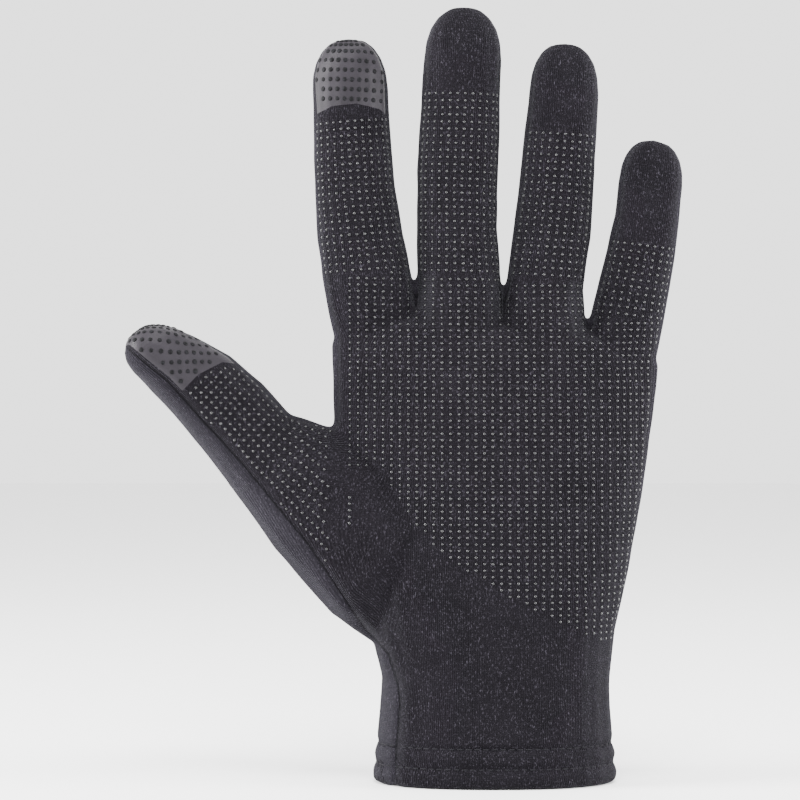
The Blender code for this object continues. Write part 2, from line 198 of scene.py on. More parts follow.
def mouth_plug(points, height):
    """A convex block that closes the wrist for the wrapping."""
    low = points[points[:, 2] < height]
    bm = bmesh.new()
    for p in low:
        bm.verts.new(p)
    bmesh.ops.convex_hull(bm, input=bm.verts)
    loose = [v for v in bm.verts if not v.link_faces]
    bmesh.ops.delete(bm, geom=loose, context="VERTS")
    bm.verts.index_update()
    bmesh.ops.triangulate(bm, faces=bm.faces)
    plug_points = np.array([v.co for v in bm.verts], float)
    plug_faces = np.array([[v.index for v in f.verts] for f in bm.faces], int)
    bm.free()
    return plug_points, plug_faces


def wrap(points, faces, size):
    """The net of squares round a closed shape."""
    obj = new_object("net", points, faces)
    remesh = obj.modifiers.new("net", "REMESH")
    remesh.mode = "VOXEL"
    remesh.voxel_size = size
    mesh = bpy.data.meshes.new_from_object(
        obj.evaluated_get(bpy.context.evaluated_depsgraph_get()))
    net_points = np.array([v.co for v in mesh.vertices], float).reshape(-1, 3)
    net_faces = [tuple(p.vertices) for p in mesh.polygons]
    bpy.data.objects.remove(obj)
    bpy.data.meshes.remove(mesh)
    return net_points, np.array(net_faces, int)


def outer_shell(points, faces):
    """The part of the net that holds its highest point, without the skin of the cavity."""
    group = np.arange(len(points))
    while True:
        least = group[faces].min(1)
        new = group.copy()
        for k in range(4):
            np.minimum.at(new, faces[:, k], least)
        new = new[new]
        if (new == group).all():
            break
        group = new
    keep = group[faces[:, 0]] == group[np.argmax(points[:, 2])]
    used, flat = np.unique(faces[keep], return_inverse=True)
    return points[used], flat.reshape(-1, 4)


cad_points, cad_triangles = joined(cloth_nodes)
plug_points, plug_faces = mouth_plug(cad_points, MOUTH_HEIGHT)
points, faces = wrap(np.vstack([cad_points, plug_points]),
                     np.vstack([cad_triangles, plug_faces + len(cad_points)]), NET)
points, faces = outer_shell(points, faces)
print("net of", len(points), "points and", len(faces), "faces")

# %% [markdown]
# The squares' corners are averaged with their neighbours, first inwards and then outwards so that
# the glove keeps its size. The fork between thumb and palm gets more rounds: there the cloth
# stretches over the hand in one soft curve.

# %% Smoothing
FORK_ACROSS, FORK_BELOW = 15 * MM, 9 * MM  # from the thumb's first hinge to the fork
FORK_RADIUS, FORK_ROUNDS = 16 * MM, 60


def neighbours(faces, count):
    """The two ends of every edge and how many edges meet at each point."""
    edges = np.vstack([faces[:, [k, (k + 1) % 4]] for k in range(4)])
    edges = np.unique(np.sort(edges, axis=1), axis=0)
    return edges, np.bincount(edges.ravel(), minlength=count).astype(float)


def averaged(values, edges, meets):
    """Every point's mean over its neighbours."""
    total = np.zeros_like(values)
    for k in range(values.shape[1]):
        total[:, k] = (np.bincount(edges[:, 0], values[edges[:, 1], k], len(values))
                       + np.bincount(edges[:, 1], values[edges[:, 0], k], len(values)))
    return total / meets[:, None]


def smoothed(points, edges, meets, rounds, inward=0.5, outward=-0.52, share=None):
    """The points after these rounds of averaging, each an inward and an outward move."""
    share = np.ones(len(points)) if share is None else share
    for _ in range(rounds):
        for move in (inward, outward):
            if move:
                points = points + move * share[:, None] * (averaged(points, edges, meets) - points)
    return points


def step(low, high, x):
    """A smooth step from 0 at low to 1 at high."""
    t = np.clip((x - low) / (high - low), 0.0, 1.0)
    return t * t * (3 - 2 * t)


def near(points, spot, radius):
    """1 at a spot of the front view, falling to 0 at this radius."""
    off = np.hypot(points[:, 0] - spot[0], points[:, 2] - spot[2])
    return 1 - step(0.35 * radius, radius, off)


edges, meets = neighbours(faces, len(points))
points = smoothed(points, edges, meets, SMOOTH_ROUNDS)
thumb, palm_low, palm_high = digits["thumb"], *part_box("palm_panel")
fork = thumb.start + FORK_ACROSS * thumb.across - FORK_BELOW * thumb.along
points = smoothed(points, edges, meets, FORK_ROUNDS, outward=0,
                  share=near(points, fork, FORK_RADIUS))
print("fork of the thumb at", np.round(fork / MM, 1), "mm; palm panel box",
      np.round(np.array(palm_low) / MM, 1), np.round(np.array(palm_high) / MM, 1))

# %% [markdown]
# Each point is given to the digit it belongs to. The webs lie below the line where a finger's own
# cloth starts, so above it the gaps between the fingers part them.

# %% Whose cloth
THUMB_REACH = 19 * MM  # half the width that the thumb's cloth can take up
FINGER_REACH = 16 * MM  # the same for a finger


def owners(points):
    """For each point the digit's number in DIGITS, or -1 for the hand."""
    placed = [digits[name].place(points) for name in FINGERS]
    nearest = np.argmin([abs(s) for t, s, d in placed], axis=0)
    above = np.choose(nearest, [placed[k][0] + WEB_BELOW[n] for k, n in enumerate(FINGERS)])
    owner = np.where(above > 0, nearest, -1)
    t, s, d = digits["thumb"].place(points)
    return np.where((t > -WEB_BELOW["thumb"]) & (abs(s) < THUMB_REACH), len(FINGERS), owner)


def measures(points, owner):
    """Along, across and deep for every point, each in its owner's frame; the hand's own is z, x."""
    palm_depth = digits["middle"].hinge_depth[0]
    t, s, d = points[:, 2].copy(), points[:, 0].copy(), points[:, 1] - palm_depth
    for k, name in enumerate(DIGITS):
        mine = owner == k
        t[mine], s[mine], d[mine] = digits[name].place(points[mine])
    return t, s, d


owner = owners(points)
for k, name in enumerate(DIGITS):
    t, s, d = digits[name].place(points[owner == k])
    print(name, "along", np.round([t.min() / MM, t.max() / MM], 1),
          "across", np.round([s.min() / MM, s.max() / MM], 1),
          "deep", np.round([d.min() / MM, d.max() / MM], 1))

# %% [markdown]
# ## The hang of the cloth
# Knit does not lie dead flat. It sinks a little along every seam, puffs up beside it, and carries
# slow, shallow waves where it is slack over the hand. The short fibres of its nap are only in the
# finish: none stand out from the outline.

# %% Seams, as the distance of every point from them
glove_low, glove_high = (np.array(corner) for corner in first_bounds)
glove_size = glove_high - glove_low
# A line of the front view, as shares of the glove's width and height, as are those below.
RADIAL_SEAM = ((0.486, 0.000), (0.484, 0.047), (0.491, 0.105), (0.487, 0.129), (0.470, 0.167),
               (0.428, 0.198), (0.331, 0.306), (0.215, 0.407), (0.132, 0.472), (0.076, 0.518),
               (0.007, 0.558))


def on_glove(shares):
    """Points of the front view, x and z in metres, from shares of the glove's size."""
    return glove_low[[0, 2]] + np.array(shares) * glove_size[[0, 2]]


def side_of(points, line):
    """Distance from a line of the front view, positive on the left of its direction."""
    flat = points[:, [0, 2]]
    best, signed = np.full(len(flat), 1e9), np.zeros(len(flat))
    for a, b in zip(line[:-1], line[1:]):
        run = b - a
        share = np.clip((flat - a) @ run / (run @ run), 0, 1)
        off = flat - a - share[:, None] * run
        distance = np.hypot(off[:, 0], off[:, 1])
        left = np.sign(run[0] * off[:, 1] - run[1] * off[:, 0])
        signed = np.where(distance < best, left * distance, signed)
        best = np.minimum(distance, best)
    return signed


THUMB_NUMBER = DIGITS.index("thumb")


def seam_distance(points, owner):
    """Distance from the seam between palm and back cloth, positive on the back."""
    t, s, d = measures(points, owner)
    side = d + SEAM_SETBACK
    outside = side_of(points, on_glove(RADIAL_SEAM))
    radial = (owner == -1) | (owner == THUMB_NUMBER)
    return np.where(radial, np.maximum(side, outside), side)


# %% [markdown]
# The shape of the cloth beside a seam: a narrow valley where the thread pulls it in, and a soft
# roll on each side. The slow waves come from smooth noise, a few tenths of a millimetre high.

# %% Waves and valleys
SEAM_VALLEY, VALLEY_WIDTH = 0.42 * MM, 0.9 * MM
SEAM_ROLL, ROLL_AWAY, ROLL_WIDTH = 0.28 * MM, 2.8 * MM, 1.7 * MM
WAVES = ((0.45 * MM, 24 * MM), (0.14 * MM, 8 * MM))  # height and length


def normals_of(points, faces):
    """Every point's outward direction."""
    mesh = bpy.data.meshes.new("normals")
    mesh.from_pydata([tuple(p) for p in points], [], [list(map(int, f)) for f in faces])
    mesh.update()
    flat = np.zeros(len(points) * 3, np.float32)
    mesh.vertex_normals.foreach_get("vector", flat)
    bpy.data.meshes.remove(mesh)
    return flat.reshape(-1, 3).astype(float)


def waves(points):
    """The height of the slow waves at every point."""
    height = np.zeros(len(points))
    for size, length in WAVES:
        height += size * np.array([noise.noise(Vector(p / length)) for p in points])
    return height


owner = owners(points)
seam = seam_distance(points, owner)
outward = normals_of(points, faces)
valley = -SEAM_VALLEY * np.exp(-(seam / VALLEY_WIDTH) ** 2)
roll = SEAM_ROLL * np.exp(-((abs(seam) - ROLL_AWAY) / ROLL_WIDTH) ** 2)
points = points + (valley + roll + waves(points))[:, None] * outward
print("cloth moved by", np.round(np.ptp(valley + roll) / MM, 2), "mm beside the seams")

# %% [markdown]
# ## Cutting the panels
# On the real glove a panel ends at a clean sewn edge. The net is cut along exact lines: the top of
# the hem, the seam, the edges of the two conductive patches, and the lines across each finger
# where one piece of cloth hands over to the next.

# %% Cut lines
HEM_TOP = 12.2 * MM
SLIVER = 0.05 * MM  # a point nearer than this to a cut counts as on it
PATCH_STRIP = 1.4 * MM
TIP_ZONE = 12 * MM  # a patch starts less than this below the last hinge
INDEX_PATCH = ((0.340, 0.861), (0.370, 0.870), (0.413, 0.873), (0.455, 0.867), (0.469, 0.859))
THUMB_PATCH = ((0.080, 0.488), (0.099, 0.502), (0.132, 0.526), (0.173, 0.542), (0.200, 0.540))


def cut(points, faces, values, allowed=None):
    """Faces split where the values change sign, with new points on the line between."""
    values = np.where(abs(values) < SLIVER, 0.0, values)
    points, made, out = [tuple(p) for p in points], {}, []
    for face in faces:
        own = [values[k] for k in face]
        crossed = min(own) < 0 < max(own)
        if not crossed or (allowed is not None and not all(allowed[k] for k in face)):
            out.append(face)
            continue
        high, low = [], []
        for k, a in enumerate(face):
            b = face[(k + 1) % len(face)]
            if values[a] >= 0:
                high.append(a)
            if values[a] <= 0:
                low.append(a)
            if values[a] * values[b] < 0:
                key = (min(a, b), max(a, b))
                if key not in made:
                    share = values[a] / (values[a] - values[b])
                    made[key] = len(points)
                    points.append(tuple(np.array(points[a]) * (1 - share)
                                        + np.array(points[b]) * share))
                high.append(made[key])
                low.append(made[key])
        out.extend(part for part in (high, low) if len(part) > 2)
    return np.array(points), out


def patch_value(points, name):
    """Positive on the conductive patch of this digit, and its distance from the patch's edge."""
    number = DIGITS.index(name)
    line = on_glove(INDEX_PATCH if name == "index" else THUMB_PATCH)
    above = side_of(points, line)
    seam = seam_distance(points, np.full(len(points), number))
    return np.minimum(-seam - PATCH_STRIP, above)


HAND_OVER = {name: (d.hinge_along[1:] + d.hinge_along[:-1]) / 2 for name, d in digits.items()}
faces = [list(map(int, f)) for f in faces]
points, faces = cut(points, faces, points[:, 2] - HEM_TOP)
for name in DIGITS:
    number = DIGITS.index(name)
    for at in (-WEB_BELOW[name], *HAND_OVER[name]):
        t, s, _ = digits[name].place(points)
        room = THUMB_REACH if name == "thumb" else FINGER_REACH
        rivals = [abs(digits[n].place(points)[1]) for n in FINGERS if n != name]
        mine = (abs(s) < room) & ((abs(s) < np.min(rivals, axis=0)) | (name == "thumb"))
        points, faces = cut(points, faces, t - at, mine)
points, faces = cut(points, faces, seam_distance(points, owners(points)))
for name in ("index", "thumb"):
    tip = owners(points) == DIGITS.index(name)
    tip &= digits[name].place(points)[0] > digits[name].hinge_along[-1] - TIP_ZONE
    points, faces = cut(points, faces, patch_value(points, name), tip)
outward = normals_of(points, faces)
print("cut net of", len(points), "points and", len(faces), "faces")

# %% [markdown]
# ## Pieces of cloth
# Every piece has an outside, a fleecy inside 1.4 mm below it and an edge all round. The shading
# directions come from the whole skin, so two sewn pieces look like one surface.

# %% Making the pieces
CLOTH = 1.4 * MM
WALE = 0.65 * MM    # width of a column of loops
COURSE = 0.55 * MM  # height of a row of loops
HAND_GIRTH = (48 * MM, 19 * MM)  # half the width and half the depth of the hand's cloth
KNIT_APART = 40 * MM  # sets the knit of each digit apart from the next one's
centres = np.array([np.mean([points[k] for k in f], axis=0) for f in faces])
face_owner = owners(centres)
face_seam = seam_distance(centres, face_owner)


def arc_table(half_across, half_deep, steps=181):
    """Angles round half an oval and the length of its edge up to each of them."""
    angle = np.linspace(0, math.pi, steps)
    across, deep = half_across * np.sin(angle), half_deep * np.cos(angle)
    run = np.hypot(np.diff(across), np.diff(deep))
    return angle, np.concatenate([[0], np.cumsum(run)])


def girth(number):
    """Half the width and half the depth of a digit's cloth, or of the hand's."""
    mine = owners(points) == number
    t, s, d = measures(points[mine], np.full(mine.sum(), number))
    if number == -1:
        return HAND_GIRTH
    return float(np.percentile(abs(s), 97)), float(np.percentile(abs(d), 97))


GIRTHS = {number: girth(number) for number in range(-1, len(DIGITS))}


def knit_place(at, number, behind):
    """How far round (from the middle of the palm side), how far along, and which digit."""
    t, s, d = measures(at, np.full(len(at), number))
    half_across, half_deep = GIRTHS[number]
    turn = np.arctan2(s / half_across, -d / half_deep)
    angle, length = arc_table(half_across, half_deep)
    even = round(2 * length[-1] / WALE) * WALE / (2 * length[-1])  # whole wales meet at the back
    around = even * np.sign(turn) * np.interp(abs(turn), angle, length)
    if behind:  # counted on past the sides, so that nothing jumps down the middle of the back
        around = around % (2 * even * length[-1])
    return np.column_stack([around, t, np.full(len(at), number * KNIT_APART)])


def cloth_piece(name, chosen, number, material, lining):
    """One closed piece of cloth from the chosen faces of the net."""
    kept = [faces[k] for k in np.nonzero(chosen)[0]]
    used, flat = np.unique(np.concatenate(kept), return_inverse=True)
    ends = np.cumsum([len(f) for f in kept])
    outer = [list(f) for f in np.split(flat, ends[:-1])]
    count = len(used)
    inner = [[k + count for k in reversed(f)] for f in outer]
    open_edges = {}
    for face in outer:
        for k, a in enumerate(face):
            b = face[(k + 1) % len(face)]
            if (b, a) in open_edges:
                del open_edges[(b, a)]
            else:
                open_edges[(a, b)] = True
    rim = [[b, a, a + count, b + count] for a, b in open_edges]
    out, way = points[used], outward[used]
    both = np.vstack([out, out - CLOTH * way])
    sides = seam_distance(out, np.full(count, number))
    place = knit_place(out, number, "back" in name)
    obj = new_object(name, both, outer + inner + rim, {
        "rest": np.vstack([out, out]), "knit": np.vstack([place, place]),
        "seam": np.concatenate([sides, sides])})
    mesh = obj.data
    mesh.polygons.foreach_set("use_smooth", [True] * len(mesh.polygons))
    mesh.normals_split_custom_set_from_vertices([tuple(n) for n in np.vstack([way, -way])])
    mesh.materials.append(material)
    mesh.materials.append(lining)
    number_of = [0] * len(outer) + [1] * len(inner) + [0] * len(rim)
    mesh.polygons.foreach_set("material_index", number_of)
    return obj

# %% [markdown]
# ## Writing a finish as sums
# The finishes are small formulas. One class wraps a socket of the material so that they can be
# written as ordinary sums.

# %% A small language for materials
class Wire:
    """A number flowing through a material; sums on it add the nodes that work them out."""

    def __init__(self, finish, socket):
        self.finish = finish
        self.socket = socket

    def sum(self, operation, *others):
        return self.finish.node("ShaderNodeMath", {"operation": operation},
                                (self, *others)).out(0)

    def __add__(self, other):
        return self.sum("ADD", other)

    def __mul__(self, other):
        return self.sum("MULTIPLY", other)

    def __sub__(self, other):
        return self.sum("SUBTRACT", other)

    def __rsub__(self, other):
        return self.finish.number(other).sum("SUBTRACT", self)

    __radd__ = __add__
    __rmul__ = __mul__

    def sine(self):
        return self.sum("SINE")

    def size(self):
        return self.sum("ABSOLUTE")

    def ramp(self, low, high):
        """0 below low and 1 above high, turning smoothly between."""
        node = self.finish.node("ShaderNodeMapRange", {"interpolation_type": "SMOOTHSTEP"},
                                (self, low, high, 0.0, 1.0))
        return node.out(0)


class Made:
    """A node that was just made, with its outputs as wires."""

    def __init__(self, finish, node):
        self.finish, self.node = finish, node

    def out(self, key):
        return Wire(self.finish, self.node.outputs[key])


class Finish:
    """A material under construction, ending in one Principled shader."""

    def __init__(self, name, roughness, **constants):
        self.material = bpy.data.materials.new(name)
        self.material.use_nodes = True
        self.tree = self.material.node_tree
        self.shader = self.tree.nodes["Principled BSDF"]
        self.shader.inputs["Roughness"].default_value = roughness
        for key, value in constants.items():
            self.shader.inputs[key.replace("_", " ")].default_value = value

    def node(self, kind, settings, inputs=()):
        """A node of this type, its settings set first and then its inputs, by place or name."""
        made = self.tree.nodes.new(kind)
        for key, value in settings.items():
            setattr(made, key, value)
        pairs = inputs.items() if isinstance(inputs, dict) else enumerate(inputs)
        for key, value in pairs:
            self.give(made.inputs[key], value)
        return Made(self, made)

    def give(self, socket, value):
        """A link if the value flows, or else the plain value."""
        if isinstance(value, Wire):
            self.tree.links.new(value.socket, socket)
        else:
            socket.default_value = value

    def number(self, value):
        made = self.tree.nodes.new("ShaderNodeValue")
        made.outputs[0].default_value = value
        return Wire(self, made.outputs[0])

    def attribute(self, name, part="Vector"):
        return self.node("ShaderNodeAttribute", {"attribute_name": name}).out(part)

    def parts(self, vector):
        made = self.node("ShaderNodeSeparateXYZ", {}, (vector,))
        return made.out(0), made.out(1), made.out(2)

    def vector(self, x, y, z):
        return self.node("ShaderNodeCombineXYZ", {}, (x, y, z)).out(0)

    def mixed(self, share, first, second):
        """A colour between two, by this share."""
        made = self.tree.nodes.new("ShaderNodeMix")
        made.data_type = "RGBA"
        for socket, value in zip((made.inputs[0], made.inputs[6], made.inputs[7]),
                                 (share, first, second)):
            self.give(socket, value)
        return Wire(self, made.outputs[2])

    def grain(self, place, size, detail=2.0):
        """Smooth noise with features of this size, from 0 to 1."""
        return self.node("ShaderNodeTexNoise", {}, {
            "Vector": place, "Scale": 1 / size, "Detail": detail}).out(0)

    def bump(self, height, depth, strength=1.0):
        made = self.node("ShaderNodeBump", {}, {
            "Height": height, "Distance": depth, "Strength": strength})
        self.give(self.shader.inputs["Normal"], made.out(0))

    def colour(self, value):
        self.give(self.shader.inputs["Base Color"], value)

    def rough(self, value):
        self.give(self.shader.inputs["Roughness"], value)


def rgb(red, green, blue):
    """A colour for a material from the 0 to 255 numbers of a colour chart."""
    linear = [((c / 255 + 0.055) / 1.055) ** 2.4 for c in (red, green, blue)]
    return (*linear, 1.0)


# %% [markdown]
# ## The knit
# The shell is a fine brushed jersey: columns of loops, called wales, 0.65 mm apart, raised into a
# short nap. The yarn is melange, dark fibres with a few pale ones, so the cloth is flecked. The
# nap catches light at a grazing angle, which the sheen of the shader gives.

# %% Knit
PALM_DARK, PALM_PALE = rgb(6, 5, 7), rgb(23, 21, 25)
BACK_DARK, BACK_PALE = rgb(14, 13, 16), rgb(34, 32, 37)
FLECK = rgb(86, 82, 92)


def knit(name):
    """The brushed jersey, darker on the palm side of the seam and paler behind it, with painted
    shade along the seam's groove.
    """
    f = Finish(name, 0.92, Sheen_Weight=0.05, Sheen_Roughness=0.3,
               Sheen_Tint=(0.75, 0.75, 0.84, 1.0), Specular_IOR_Level=0.03)
    rest, seam = f.attribute("rest"), f.attribute("seam", "Fac")
    around, along, _ = f.parts(f.attribute("knit"))
    wales = (around * (2 * math.pi / WALE)).sine() * 0.5 + 0.5
    courses = (along * (2 * math.pi / COURSE)).sine() * 0.5 + 0.5
    x, y, z = f.parts(rest)
    fibres = f.grain(f.vector(x * 2.2, y * 2.2, z), 0.9 * MM, 3.0)
    nap = f.grain(rest, 0.5 * MM, 4.0)
    clouds = f.grain(rest, 13 * MM, 3.0)
    pale = fibres * 0.55 + clouds * 0.55 + wales * 0.12 - 0.12
    palm = f.mixed(pale, PALM_DARK, PALM_PALE)
    back = f.mixed(pale, BACK_DARK, BACK_PALE)
    body = f.mixed(seam.ramp(-0.1 * MM, 0.1 * MM), palm, back)
    flecked = f.mixed(fibres.ramp(0.56, 0.78) * 0.30 + nap.ramp(0.58, 0.80) * 0.26, body, FLECK)
    # painted shade: a near-black line, rgb(5, 5, 6), is painted along every seam to stand in for
    # the shade in its groove
    seam_painted_shade = f.mixed((1 - seam.size().ramp(0.05 * MM, 0.55 * MM)) * 0.7, flecked,
                    rgb(5, 5, 6))
    f.colour(seam_painted_shade)
    f.rough(nap * 0.12 + 0.84)
    f.bump(wales * 0.5 + courses * 0.2 + nap * 1.3 + fibres * 0.6, 0.32 * MM)
    return f.material


def fleece(name):
    """The soft inside: a thick, curly nap."""
    f = Finish(name, 0.95, Sheen_Weight=0.1, Sheen_Roughness=0.5, Specular_IOR_Level=0.05)
    rest = f.attribute("rest")
    curls = f.grain(rest, 1.1 * MM, 4.0)
    f.colour(f.mixed(curls.ramp(0.3, 0.7), rgb(22, 21, 25), rgb(50, 48, 54)))
    f.bump(curls, 0.5 * MM)
    return f.material


def touch_cloth(name):
    """The conductive patch: a tight satin weave with a metal thread in it."""
    f = Finish(name, 0.42, Sheen_Weight=0.04, Sheen_Roughness=0.3, Specular_IOR_Level=0.12)
    rest = f.attribute("rest")
    around, along, _ = f.parts(f.attribute("knit"))
    weave = ((around + along * 0.6) * (2 * math.pi / (0.42 * MM))).sine() * 0.5 + 0.5
    wear = f.grain(rest, 5 * MM, 3.0)
    fine = f.grain(rest, 0.35 * MM, 2.0)
    f.colour(f.mixed(wear * 0.6 + weave * 0.25 + fine * 0.25, rgb(15, 13, 16), rgb(38, 35, 40)))
    f.rough(wear * 0.12 + 0.40)
    f.bump(weave * 0.6 + fine * 0.5, 0.06 * MM)
    return f.material


def silicone(name, glossy):
    """Black printed silicone: glossy in the grip print, matte on the patches."""
    f = Finish(name, 0.3, Specular_IOR_Level=0.4 if glossy else 0.06)
    rest = f.attribute("rest")
    dust = f.grain(rest, 0.8 * MM, 3.0)
    f.colour(f.mixed(dust.ramp(0.35, 0.8), rgb(9, 9, 10), rgb(24, 24, 27)))
    f.rough(dust * 0.2 + (0.12 if glossy else 0.5))
    return f.material


def thread(name):
    """Two-ply sewing thread, its plies turning round each other."""
    f = Finish(name, 0.65, Specular_IOR_Level=0.08)
    rest = f.attribute("rest")
    x, y, z = f.parts(rest)
    twist = ((x + y + z * 0.7) * (2 * math.pi / (0.5 * MM))).sine() * 0.5 + 0.5
    f.colour(f.mixed(twist, rgb(10, 10, 12), rgb(32, 31, 35)))
    f.bump(twist, 0.08 * MM)
    return f.material


KNIT, FLEECE, TOUCH = knit("brushed_knit"), fleece("fleece"), touch_cloth("touch_cloth")
GRIP, PATCH_DOT = silicone("grip_silicone", True), silicone("patch_silicone", False)
THREAD = thread("hem_thread")

# %% [markdown]
# ## Dressing the bodies
# A finger's cloth is cut into pieces that each cross one joint. The span over each joint where the
# cloth would turn is set about as long as the finger is deep, as a shorter one would crease to
# nothing on the inside of a bend; no piece is set to turn yet.

# %% Pieces over the joints
BEND_HALF = {"index": (0, 11 * MM, 6 * MM), "middle": (0, 11.5 * MM, 6 * MM),
             "ring": (0, 11 * MM, 6 * MM), "little": (0, 8 * MM, 5 * MM), "thumb": (0, 7.5 * MM)}
FIRST_BEND_END = {"index": 9 * MM, "middle": 9 * MM, "ring": 9 * MM, "little": 7 * MM,
                  "thumb": 6.5 * MM}
cloth = {}


def bend_span(name, k):
    """Where the cloth over hinge k starts and stops turning, along the finger."""
    at = digits[name].hinge_along[k]
    if k == 0:
        return -WEB_BELOW[name], FIRST_BEND_END[name]
    return at - BEND_HALF[name][k], at + BEND_HALF[name][k]


def bend(piece, name, k):
    """Bakes a piece's placement into its mesh; the span over hinge k is worked out but not used."""
    digit = digits[name]
    low, high = (digit.centre(np.array([at]))[0] for at in bend_span(name, k))
    high = low + digit.along * ((high - low) @ digit.along)
    digit.bodies[k + 1]
    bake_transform(piece)
    return piece


def stretches(name):
    """From and to, along the finger, for the piece of cloth over each hinge."""
    ends = [-1.0, *HAND_OVER[name], 1.0]
    return list(zip(ends[:-1], ends[1:]))


t_of = {name: digits[name].place(centres)[0] for name in DIGITS}
patch_of = {name: patch_value(centres, name) > 0 for name in ("index", "thumb")}
for name in DIGITS:
    mine = face_owner == DIGITS.index(name)
    for k, (low, high) in enumerate(stretches(name)):
        body = digits[name].bodies[k + 1]
        here = mine & (t_of[name] > low) & (t_of[name] < high)
        last = k == len(digits[name].bodies) - 2
        fold = f"{name}_{digits[name].joints[k]['name'].split('_')[1]}_fold"
        patch = here & patch_of[name] if name in patch_of and last else here & False
        sets = {"palm": here & (face_seam < 0) & ~patch, "back": here & (face_seam >= 0) & ~patch}
        for side, chosen in sets.items():
            piece = cloth_piece(f"{body}_{side}_cloth", chosen, DIGITS.index(name), KNIT, FLEECE)
            node = f"{body}_{side}"
            bend(piece, name, k)
            stands_for = [node] if node in frame["nodes"] else []
            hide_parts(*(stands_for + ([fold] if side == "palm" else [])))
            "knit" if side == "palm" else "knit_back"
            cloth[piece.name] = piece
        if patch.any():
            piece = cloth_piece(f"{name}_touch_cloth", patch, DIGITS.index(name), TOUCH, FLEECE)
            bend(piece, name, k)
            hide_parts(f"{name}_touch_pad")
            cloth[piece.name] = piece
hand = face_owner == -1
for side, chosen in {"palm": hand & (face_seam < 0), "back": hand & (face_seam >= 0)}.items():
    piece = cloth_piece(f"{side}_cloth", chosen, -1, KNIT, FLEECE)
    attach(piece, "hand")
    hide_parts(f"{side}_panel")
    "knit" if side == "palm" else "knit_back"
    cloth[piece.name] = piece
print(len(cloth), "pieces of cloth,", sum(len(p.data.polygons) for p in cloth.values()), "faces")

# %% [markdown]
# ## The hem
# The bottom edge is turned up inside and sewn round twice. The two rows of stitches pull the
# doubled cloth into two soft rolls.

# %% Hem
HEM_CLOTH = 2.8 * MM
HEM_AROUND = 420
ROLL = 0.75 * MM
ROW_LOW = 6.0 * MM
HEM_EDGE = 1.3 * MM  # radius of the turned bottom edge
HEM_FLARE = 0.035  # how much wider the bottom edge is than the top line
HEM_INSET = 0.3 * MM
HEM_SUNK = 0.25 * MM
HEM_WOBBLE = 0.3 * MM
PUCKER, PUCKERS = 0.12 * MM, 40  # height of the small puckers, and how many go round
HEM_RADIUS = 30 * MM  # the hem's knit is laid out round a circle of this size

skin_tree = BVHTree.FromPolygons([tuple(p) for p in points], faces)
hem_net = np.linspace(0, 2 * math.pi, HEM_AROUND, endpoint=False)
hem_box = [np.array(v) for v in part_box("hem_palm_side")]
hem_half = hem_box[1][0] - HEM_INSET
hem_deep = -hem_box[0][1] - HEM_INSET


def outline(z):
    """The cloth's outline at this height, one point for each step round the wrist."""
    start = Vector((0, 0, max(z, HEM_TOP + 0.4 * MM)))
    found = []
    for angle in hem_net:
        way = Vector((hem_half * math.cos(angle), hem_deep * math.sin(angle), 0)).normalized()
        hit = skin_tree.ray_cast(start, way)[0]
        found.append((hit.x, hit.y))
    return np.array(found)


def roll_height(z):
    """How far the hem stands out at a height: two rolls with the stitches between and above."""
    if z < ROW_LOW:
        share = z / ROW_LOW
        edge = 1 - max(0.0, 1 - z / HEM_EDGE) ** 2
        return ROLL * math.sin(math.pi * share) ** 0.6 - HEM_EDGE * (1 - math.sqrt(edge))
    share = (z - ROW_LOW) / (HEM_TOP - ROW_LOW)
    return ROLL * max(0.0, math.sin(math.pi * share)) ** 0.6


top_line = outline(HEM_TOP)
way_out = top_line / np.linalg.norm(top_line, axis=1)[:, None]
heights = np.concatenate([np.linspace(0, HEM_EDGE, 8), np.linspace(HEM_EDGE, HEM_TOP, 44)[1:]])
flare = 1 + HEM_FLARE * (1 - heights / HEM_TOP)
wobble = np.array([noise.noise(Vector((3 * math.cos(a), 3 * math.sin(a), 0))) for a in hem_net])
rings = []
for z, grow in zip(heights, flare):
    out = roll_height(z) - HEM_SUNK
    ripple = HEM_WOBBLE * wobble + PUCKER * np.sin(hem_net * PUCKERS + z / MM)
    ring = top_line * grow + way_out * (out + ripple)[:, None]
    rings.append(np.column_stack([ring, np.full(HEM_AROUND, z)]))
for z, grow in zip(heights[::-1], flare[::-1]):
    ring = top_line * grow - way_out * (HEM_CLOTH - HEM_INSET)
    dip = HEM_EDGE * (1 - math.sqrt(1 - max(0.0, 1 - z / HEM_EDGE) ** 2))
    ring = ring + way_out * dip
    rings.append(np.column_stack([ring, np.full(HEM_AROUND, z)]))
hem_points = np.vstack(rings)
row_count = len(rings)
outer_faces, inner_faces = [], []
for row in range(row_count):
    after = (row + 1) % row_count
    for k in range(HEM_AROUND):
        n = (k + 1) % HEM_AROUND
        a, b = row * HEM_AROUND + k, row * HEM_AROUND + n
        c, d = after * HEM_AROUND + n, after * HEM_AROUND + k
        (outer_faces if row < len(heights) else inner_faces).append([a, b, c, d])
hem_place = np.column_stack([np.tile(hem_net, row_count) * HEM_RADIUS, hem_points[:, 2],
                             np.zeros(len(hem_points))])
hem = new_object("hem_cloth", hem_points, outer_faces + inner_faces, {
    "rest": hem_points, "knit": hem_place, "seam": hem_points[:, 1] + SEAM_SETBACK})
hem.data.materials.append(KNIT)
hem.data.materials.append(FLEECE)
hem.data.polygons.foreach_set("use_smooth", [True] * len(hem.data.polygons))
hem.data.polygons.foreach_set("material_index", [0] * len(outer_faces) + [1] * len(inner_faces))
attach(hem, "hand")
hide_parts("hem_palm_side", "hem_back_side")
print("hem of", len(hem.data.polygons), "faces")

# %% [markdown]
# ## Grip print and stitches
# The grip is printed in liquid silicone through a screen: small domes in a square grid. A small
# Geometry Nodes tree sets one low-sided dome on each place, turned to stand on the cloth.

